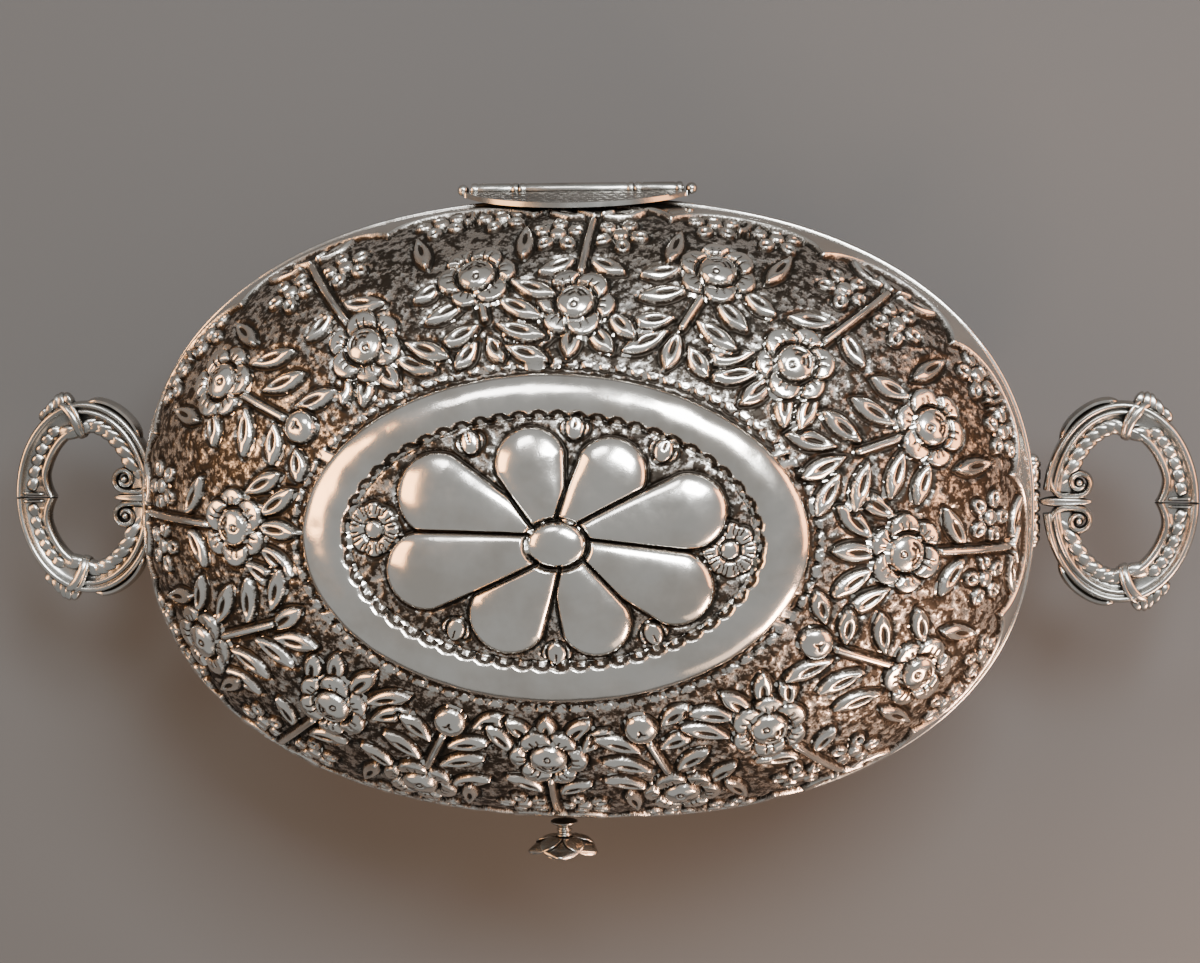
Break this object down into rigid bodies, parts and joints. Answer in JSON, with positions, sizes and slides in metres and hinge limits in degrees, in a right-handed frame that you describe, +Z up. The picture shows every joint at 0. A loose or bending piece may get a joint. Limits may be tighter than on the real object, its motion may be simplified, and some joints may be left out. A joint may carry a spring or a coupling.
{
  "type": "sugar bowl",
  "caption": "Oval lidded sugar bowl in chased silver, with a domed lid hinged at the back, a flower knob at the front and a swinging ring handle at each end.",
  "frame": {"origin": "on the table under the centre of the whole object's bounding box, lid closed and handles level", "axes": "+X along the long axis towards the right handle, +Y towards the lid's hinge, so the knob is at -Y, +Z up"},
  "size_m": [0.2172, 0.1194, 0.0903],
  "materials": {
    "chased_silver": "hand-chased solid silver, dark oxide left in the matted ground, burnished on the raised petals and leaves",
    "plain_silver": "plain silver wire and sheet, softly polished",
    "cast_silver": "cast and chased silver, dark in the recesses and bright on the high edges"
  },
  "bodies": {
    "bowl": {"bowl_shell": "chased_silver", "bowl_rim_band": "plain_silver", "seat_bezel": "plain_silver", "foot_ring": "plain_silver", "bowl_hinge_leaf": "cast_silver", "bowl_knuckle_left": "cast_silver", "bowl_knuckle_right": "cast_silver", "hinge_pin": "plain_silver", "hinge_pin_bead_left": "cast_silver", "hinge_pin_bead_right": "cast_silver", "right_bracket_plate": "cast_silver", "right_bracket_eye_near": "cast_silver", "right_bracket_eye_far": "cast_silver", "right_handle_pin": "plain_silver", "left_bracket_plate": "cast_silver", "left_bracket_eye_near": "cast_silver", "left_bracket_eye_far": "cast_silver", "left_handle_pin": "plain_silver"},
    "lid": {"lid_shell": "chased_silver", "lid_rim_band": "plain_silver", "lid_hinge_leaf": "cast_silver", "lid_knuckle": "cast_silver", "knob_collar": "cast_silver", "knob_stem": "cast_silver", "knob_flower": "cast_silver", "knob_stamen": "cast_silver"},
    "right_handle": {"right_handle_lug": "cast_silver", "right_scroll_far": "cast_silver", "right_scroll_near": "cast_silver", "right_wrap_far": "cast_silver", "right_wrap_near": "cast_silver", "right_bow_far": "cast_silver", "right_bow_near": "cast_silver"},
    "left_handle": {"left_handle_lug": "cast_silver", "left_scroll_far": "cast_silver", "left_scroll_near": "cast_silver", "left_wrap_far": "cast_silver", "left_wrap_near": "cast_silver", "left_bow_far": "cast_silver", "left_bow_near": "cast_silver"}
  },
  "joints": [
    {"name": "lid_hinge", "type": "hinge", "parent": "bowl", "child": "lid", "pos_m": [0, 0.05845, 0.0473], "axis": [-1, 0, 0], "range_deg": [0, 95]},
    {"name": "right_handle_swing", "type": "hinge", "parent": "bowl", "child": "right_handle", "pos_m": [0.07939, 0.00215, 0.03288], "axis": [0, 1, 0], "range_deg": [-50, 95]},
    {"name": "left_handle_swing", "type": "hinge", "parent": "bowl", "child": "left_handle", "pos_m": [-0.07939, 0.00215, 0.03288], "axis": [0, -1, 0], "range_deg": [-50, 95]}
  ]
}
